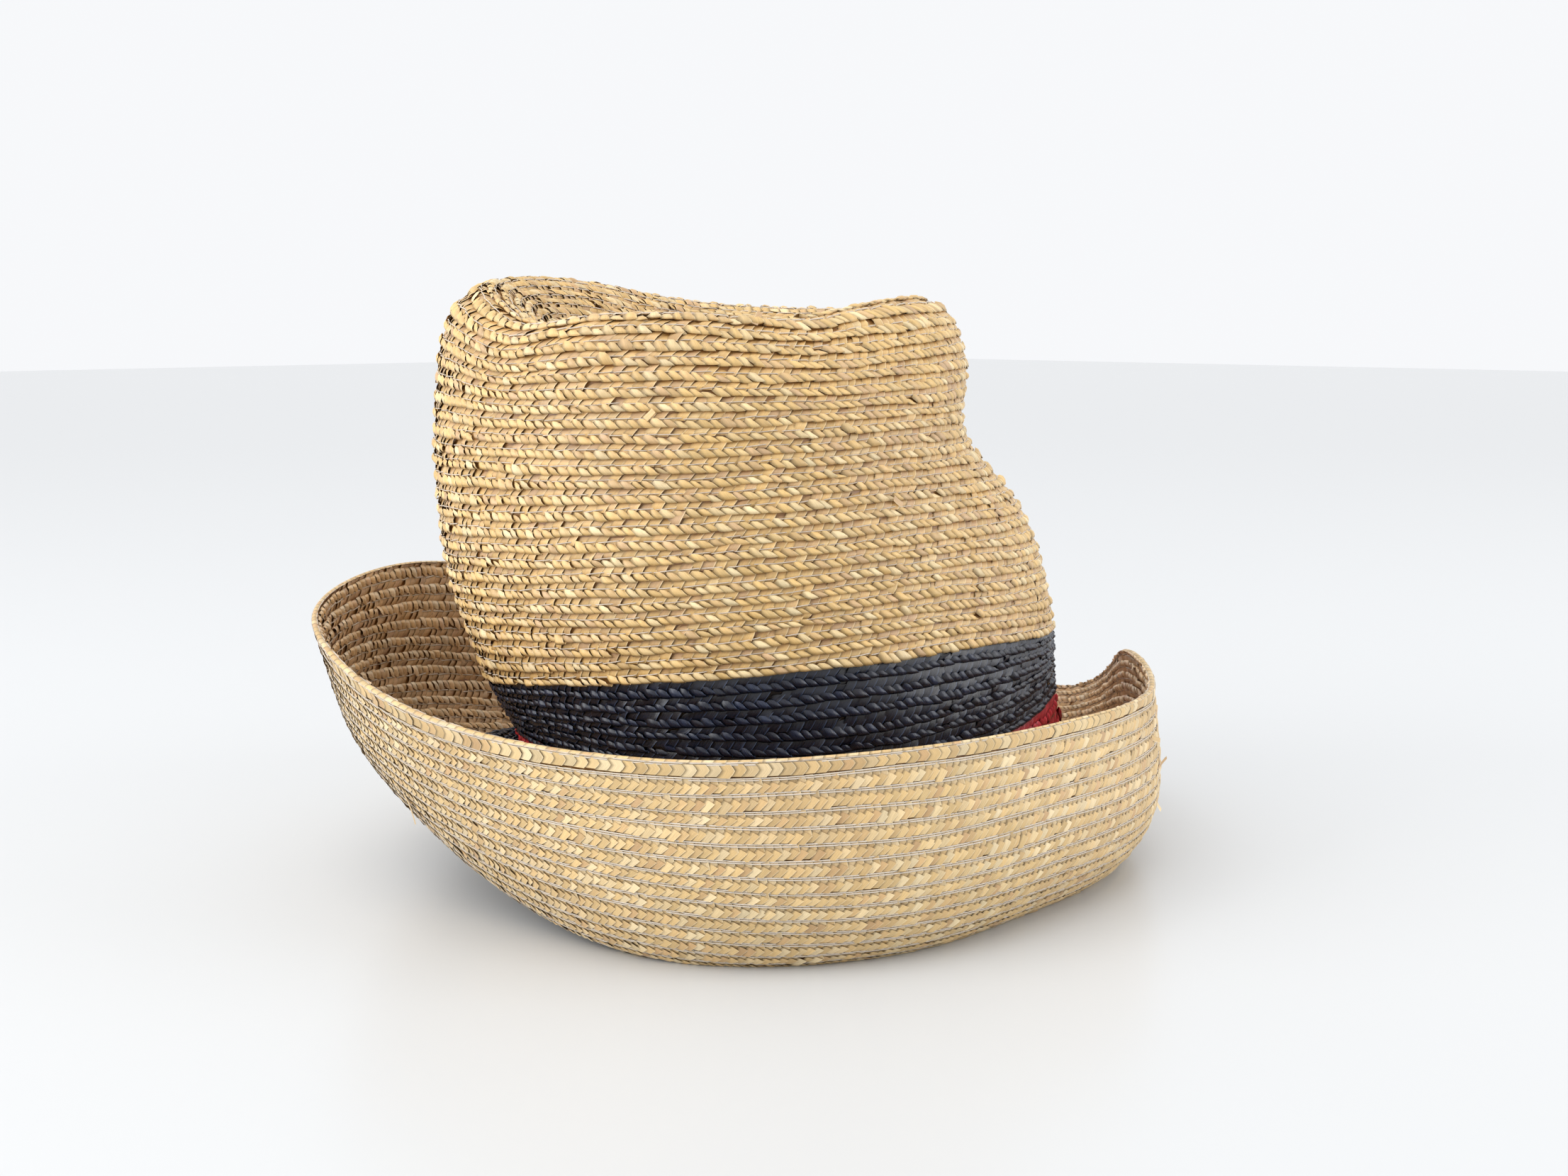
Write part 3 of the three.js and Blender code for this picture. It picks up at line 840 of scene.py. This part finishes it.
varied = add_node(
    tree,
    "ShaderNodeMix",
    {0: 1.0, 6: weathered.outputs[2], 7: shade_of_leaf.outputs[0]},
    data_type="RGBA",
    blend_type="MULTIPLY",
)
# Deep between the leaves the colour is multiplied by the painted crevice shade.
crevice_shaded = add_node(
    tree,
    "ShaderNodeMix",
    {0: leaf_depth.outputs["Fac"], 6: varied.outputs[2], 7: given["Crevice shade"]},
    data_type="RGBA",
    blend_type="MULTIPLY",
)
tree.links.new(crevice_shaded.outputs[2], result["Color"])


# %% One straw finish from the two groups
HIGHLIGHT_SHARE = 0.5  # how far a leaf's lip turns to the border colour, a painted highlight
SHADOW_SHARE = 0.85  # how far the other border turns to the painted shadow
SHADE = 0.3  # the brightness of that shade, as a share of the straw's gold
CREVICE_SHADE = (0.5, 0.35, 0.2, 1)  # the painted crevice shade: what the colour is multiplied by deep between the leaves


def straw_material(name, gold, cream, tan, border, gloss=0.45, coat=0.15, patina=0.25, contrast=0.12):
    material = bpy.data.materials.new(name)
    material.use_nodes = True
    tree = material.node_tree
    shader = tree.nodes["Principled BSDF"]
    fibres = add_node(tree, "ShaderNodeGroup", node_tree=fibre_group)
    tones = add_node(tree, "ShaderNodeGroup", node_tree=tone_group)
    for socket, colour in (("Gold", gold), ("Cream", cream), ("Tan", tan)):
        tones.inputs[socket].default_value = (*colour, 1)
    tones.inputs["Crevice shade"].default_value = CREVICE_SHADE
    tones.inputs["Patina"].default_value = patina
    streaked = add_node(
        tree,
        "ShaderNodeMapRange",
        {0: fibres.outputs["Streak"], 1: 0.3, 2: 0.7, 3: 1 - contrast, 4: 1 + contrast},
    )
    lined = add_node(
        tree,
        "ShaderNodeMix",
        {0: 1.0, 6: tones.outputs["Color"], 7: streaked.outputs[0]},
        data_type="RGBA",
        blend_type="MULTIPLY",
    )
    # The lip is painted lighter in the border colour, as a highlight.
    highlight_share = add_node(
        tree,
        "ShaderNodeMath",
        {0: fibres.outputs["Painted highlight"], 1: HIGHLIGHT_SHARE},
        operation="MULTIPLY",
    )
    highlighted = add_node(
        tree,
        "ShaderNodeMix",
        {0: highlight_share.outputs[0], 6: lined.outputs[2], 7: (*border, 1)},
        data_type="RGBA",
    )
    # The start of each leaf is painted darker, as the shadow that its neighbour's lip casts.
    shadow_share = add_node(
        tree,
        "ShaderNodeMath",
        {0: fibres.outputs["Painted shadow"], 1: SHADOW_SHARE},
        operation="MULTIPLY",
    )
    shade = tuple(SHADE * part for part in gold)
    shaded = add_node(
        tree,
        "ShaderNodeMix",
        {0: shadow_share.outputs[0], 6: highlighted.outputs[2], 7: (*shade, 1)},
        data_type="RGBA",
    )
    tree.links.new(shaded.outputs[2], shader.inputs["Base Color"])
    rough = add_node(
        tree,
        "ShaderNodeMapRange",
        {0: fibres.outputs["Streak"], 1: 0.25, 2: 0.75, 3: gloss - 0.1, 4: gloss + 0.15},
    )
    tree.links.new(rough.outputs[0], shader.inputs["Roughness"])
    bump = add_node(
        tree,
        "ShaderNodeBump",
        {"Height": fibres.outputs["Streak"], "Strength": 0.35, "Distance": 0.0002},
    )
    tree.links.new(bump.outputs[0], shader.inputs["Normal"])
    shader.inputs["Coat Weight"].default_value = coat
    shader.inputs["Coat Roughness"].default_value = 0.3
    return material


# The four colours of a straw are gold, cream, tan and border, the painted highlight along each leaf's
# lip.
straw = straw_material(
    "natural_straw", (0.69, 0.46, 0.18), (0.8, 0.64, 0.37), (0.58, 0.38, 0.2), (0.9, 0.75, 0.46)
)
under_straw = straw_material(
    "underside_straw", (0.65, 0.45, 0.2), (0.75, 0.6, 0.36), (0.54, 0.34, 0.16), (0.86, 0.74, 0.5)
)
# The brim's top lies in the crown's shade. Its straw is a lit copy of the crown's, painted paler and
# pinker to make up for that shade, so that it comes nearer to the photo there.
brim_straw_painted_lighter = straw_material(
    "brim_top_straw_painted_light", (0.84, 0.59, 0.32), (0.92, 0.77, 0.55), (0.76, 0.54, 0.35), (0.94, 0.82, 0.6)
)
navy_straw = straw_material(
    "navy_straw_dye", (0.006, 0.009, 0.022), (0.014, 0.022, 0.05), (0.006, 0.005, 0.012),
    (0.08, 0.12, 0.22), gloss=0.3, coat=0.1, patina=0.4, contrast=0.5,
)
red_straw = straw_material(
    "red_straw_dye", (0.52, 0.015, 0.03), (0.66, 0.04, 0.06), (0.34, 0.008, 0.02),
    (0.8, 0.12, 0.14), gloss=0.42, coat=0.2, patina=0.3, contrast=0.3,
)
print("Straw finishes:", [m.name for m in (straw, under_straw, brim_straw_painted_lighter, navy_straw, red_straw)])

# %% Cotton thread
thread = bpy.data.materials.new("cotton_thread")
thread.use_nodes = True
tree = thread.node_tree
shader = tree.nodes["Principled BSDF"]
ply = add_node(tree, "ShaderNodeUVMap", uv_map="leaf")
twist = add_node(
    tree,
    "ShaderNodeTexWave",
    {"Vector": ply.outputs[0], "Scale": 5.0, "Distortion": 1.5},
    bands_direction="DIAGONAL",
)
cotton = add_node(
    tree,
    "ShaderNodeMix",
    {0: twist.outputs["Fac"], 6: (0.62, 0.51, 0.40, 1), 7: (0.84, 0.76, 0.65, 1)},
    data_type="RGBA",
)
ply_bump = add_node(
    tree, "ShaderNodeBump", {"Height": twist.outputs["Fac"], "Strength": 0.4, "Distance": 0.0001}
)
tree.links.new(cotton.outputs[2], shader.inputs["Base Color"])
tree.links.new(ply_bump.outputs[0], shader.inputs["Normal"])
shader.inputs["Roughness"].default_value = 0.8
print("Thread finish:", thread.name)

# %% [markdown]
# Sewing the hat together
#
# Now each colour of braid is laid in turn. The outer face of the crown runs over the fold into the
# top of the brim, so both get ridges and teeth; the inside of the crown and the underside of the
# brim get the flat leaves. A thin sheet lies between the two faces, so that no light comes through
# where leaves part; it is painted with the full crevice shade, so such gaps show as shaded straw.
# The pieces ride on the hat's one body and stand for its solids.


# %% The rows of one colour
def rows_between(first, last):
    return [row for row in braid_rows if first <= row.number < last]


def sheet_between(patches, first, last, lift=0.0):
    """The thin smooth sheet inside the wall, from one row of braid to another."""
    turn = np.arange(0, 361, 3.0)
    lines = section_row(np.arange(first, last + 0.5, 0.5))
    at_degrees, at_row = np.meshgrid(turn, lines)
    point, out = on_wall(at_degrees, at_row)
    quads = []
    for line in range(len(lines) - 1):
        corner = line * len(turn) + np.arange(len(turn) - 1)
        quads.append(np.stack([corner, corner + 1, corner + 1 + len(turn), corner + len(turn)], axis=1))
    flat = (point + out * lift).reshape(1, -1, 3)
    # The sheet takes the full painted crevice shade and a low tone, so where leaves part it shows as
    # shaded straw.
    patches.add(flat, np.concatenate(quads), np.full((flat.shape[1], 2), 0.5), np.array([0.2]), 1.0)


# %% The two faces of a run of rows
CROWN_LAP = 0.4  # millimetres that the crown's first natural row stands over the navy
TOOTH_TONES = (0.0, 0.75)  # the teeth are a little browner than the ridge
WEDGE_TONES = (0.5, 1.0)  # the wedges of the underside are paler than its leaves


def outer_face(patches, rows):
    for row in rows:
        proud = CROWN_LAP if row.number == NAVY_TOP else 0.0
        lay(patches, row, tooth_leaf, tones=TOOTH_TONES, rough=0.07)
        lay(patches, row, ridge_leaf, lift=proud, rough=0.08)


def inner_face(patches, rows, pace=1.0):
    for row in rows:
        lay(patches, row, wedge_leaf, tones=WEDGE_TONES, pace=pace)
        if row.number != EDGE:
            lay(patches, row, under_leaf, pace=pace)


def keep(piece, slot_name, *nodes):
    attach(piece, "root")
    if nodes:
        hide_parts(*nodes)


# %% The crown, outside and inside
SHOULDER = 31  # the row where the crown's side turns over into its top
crown_side = Patches()
outer_face(crown_side, rows_between(NAVY_TOP, SHOULDER))
crown_top = Patches()
outer_face(crown_top, rows_between(SHOULDER, BRAID_TIP))
lay(crown_top, tip_row, tooth_leaf)
lay(crown_top, tip_row, ridge_leaf)
for end in CROWN_ENDS:
    lay_end(crown_top if end[1] > SHOULDER else crown_side, *end)
crown_rows = rows_between(NAVY_TOP, BRAID_TIP)
crown_inside = Patches()
inner_face(crown_inside, crown_rows)
sheet_between(crown_inside, NAVY_TOP, BRAID_TIP)
lay(crown_inside, tip_row, tip_sheet, rough=0)
keep(make_mesh("crown_side_braid", crown_side, straw), "straw", "crown_side")
keep(make_mesh("crown_top_braid", crown_top, straw), "straw", "crown_top")
keep(make_mesh("crown_inside_braid", crown_inside, under_straw), "straw")


# %% The three stripes
def stripe(name, first, last, material, slot_name, node, ends=()):
    patches = Patches()
    outer_face(patches, rows_between(first, last))
    inner_face(patches, rows_between(first, last))
    sheet_between(patches, first, last)
    for end in ends:
        lay_end(patches, *end)
    keep(make_mesh(name, patches, material), slot_name, node)


stripe("navy_braid", RED_TOP, NAVY_TOP, navy_straw, "navy_straw", "navy_stripe")
stripe("red_braid", 0, RED_TOP, red_straw, "red_straw", "red_stripe", RED_ENDS)
stripe("brim_navy_braid", STRIPE_END, 0, navy_straw, "navy_straw", "brim_stripe")

# %% The brim, top and underside
UNDER_PACE = 1.4  # leaves on a cell: the underside shows narrower leaves than the top
brim_rows = rows_between(BRAID_EDGE, STRIPE_END)
brim_top = Patches()
outer_face(brim_top, brim_rows)
brim_under = Patches()
inner_face(brim_under, brim_rows, UNDER_PACE)
rim_row = rows_between(EDGE, EDGE + 1)[0]
lay(brim_under, rim_row, rim_leaf, flip=True)
lay_edge(brim_under, rim_row)
sheet_between(brim_under, EDGE, STRIPE_END)
for end in BRIM_ENDS:
    lay_end(brim_under, *end)
keep(make_mesh("brim_top_braid", brim_top, brim_straw_painted_lighter), "straw", "brim", "brim_turnup")
keep(make_mesh("brim_under_braid", brim_under, under_straw), "straw")

# %% The thread
OUTER_STITCH = {"share": 0.6, "rise": 0.05, "lift": 1.1}
UNDER_STITCH = {
    "rise": 0.0,
    "lift": -1.0,
    "span_cells": UNDER_STITCH_CELLS,
    "reach": 1.08,
    "loose": 0.01,
}
crown_thread = Patches()
for row in crown_rows:
    stitch(crown_thread, row, **OUTER_STITCH)
brim_top_thread = Patches()
for row in brim_rows:
    stitch(brim_top_thread, row, **OUTER_STITCH)
brim_under_thread = Patches()
for row in brim_rows:
    for offset, share in ((0.0, 0.02), (0.5, 0.15)):
        stitch(brim_under_thread, row, share, offset=offset, **UNDER_STITCH)
keep(make_mesh("crown_stitches", crown_thread, thread), "straw")
keep(make_mesh("brim_top_stitches", brim_top_thread, thread), "straw")
keep(make_mesh("brim_under_stitches", brim_under_thread, thread), "straw")

# %% [markdown]
# Floor, light and camera
#
# The photograph was taken in a bright white room: a pale, faintly glossy floor, soft light from all
# sides and a broad window at the upper left. A large plane and a white world give the room. The
# window could be a lit rectangle, but its light would fade along the floor, so a sun with a wide
# disc stands for it. Two soft lamps stand for the bright walls on either side. The camera stands
# where the floor's lines and the hat's own size put it.

# %% The floor
FLOOR_HALF = 6.0
floor_mesh = bpy.data.meshes.new("floor")
signs = ((-1, -1), (1, -1), (1, 1), (-1, 1))
corners = [(x * FLOOR_HALF, y * FLOOR_HALF, 0) for x, y in signs]
floor_mesh.from_pydata(corners, [], [(0, 1, 2, 3)])
floor = bpy.data.objects.new("floor", floor_mesh)
bpy.context.scene.collection.objects.link(floor)
floor_paint = bpy.data.materials.new("floor_paint")
floor_paint.use_nodes = True
floor_shader = floor_paint.node_tree.nodes["Principled BSDF"]
floor_shader.inputs["Base Color"].default_value = (0.6, 0.61, 0.615, 1)
floor_shader.inputs["Roughness"].default_value = 0.32
floor_mesh.materials.append(floor_paint)

# %% The light
def direction(aim):
    """The turn of an object that looks along its own -Z, with +Y up."""
    return Vector(aim).to_track_quat("-Z", "Y")


world = bpy.data.worlds.new("white room")
bpy.context.scene.world = world
world.use_nodes = True
world.node_tree.nodes["Background"].inputs["Color"].default_value = (0.97, 0.98, 1.0, 1)
world.node_tree.nodes["Background"].inputs["Strength"].default_value = 0.96


def add_light(name, kind, place, power, **settings):
    """A lamp that looks at the middle of the hat."""
    light = bpy.data.lights.new(name, kind)
    light.energy = power
    for key, value in settings.items():
        setattr(light, key, value)
    lamp = bpy.data.objects.new(name, light)
    bpy.context.scene.collection.objects.link(lamp)
    lamp.location = place
    lamp.rotation_euler = direction(Vector((0, 0, 0.1)) - Vector(place)).to_euler()
    return lamp


add_light("window", "SUN", (-1.1, -0.1, 2.0), 1.3, angle=math.radians(55))
add_light("left wall", "AREA", (-1.4, 0.5, 0.55), 14, shape="DISK", size=1.2)
add_light("right wall", "AREA", (0.9, -1.3, 0.5), 10, shape="DISK", size=1.2)

# %% The camera
PHOTO_WIDTH = 2212
FOCAL_PIXELS = 2600
SENSOR = 36.0
CAMERA_PLACE = np.array([-0.465, -0.4726, 0.192])
CAMERA_PITCH = math.radians(8.41)
CAMERA_TURN = math.radians(45)
camera_data = bpy.data.cameras.new("camera")
camera_data.sensor_width = SENSOR
camera_data.sensor_fit = "HORIZONTAL"
camera_data.lens = FOCAL_PIXELS / PHOTO_WIDTH * SENSOR
camera = bpy.data.objects.new("camera", camera_data)
bpy.context.scene.collection.objects.link(camera)
camera.location = CAMERA_PLACE
flat = math.cos(CAMERA_PITCH)
ahead = (flat * math.cos(CAMERA_TURN), flat * math.sin(CAMERA_TURN), -math.sin(CAMERA_PITCH))
camera.rotation_euler = direction(ahead).to_euler()
bpy.context.scene.camera = camera
bpy.context.scene.view_settings.view_transform = "Standard"
print("Lens", round(camera_data.lens, 1), "mm")
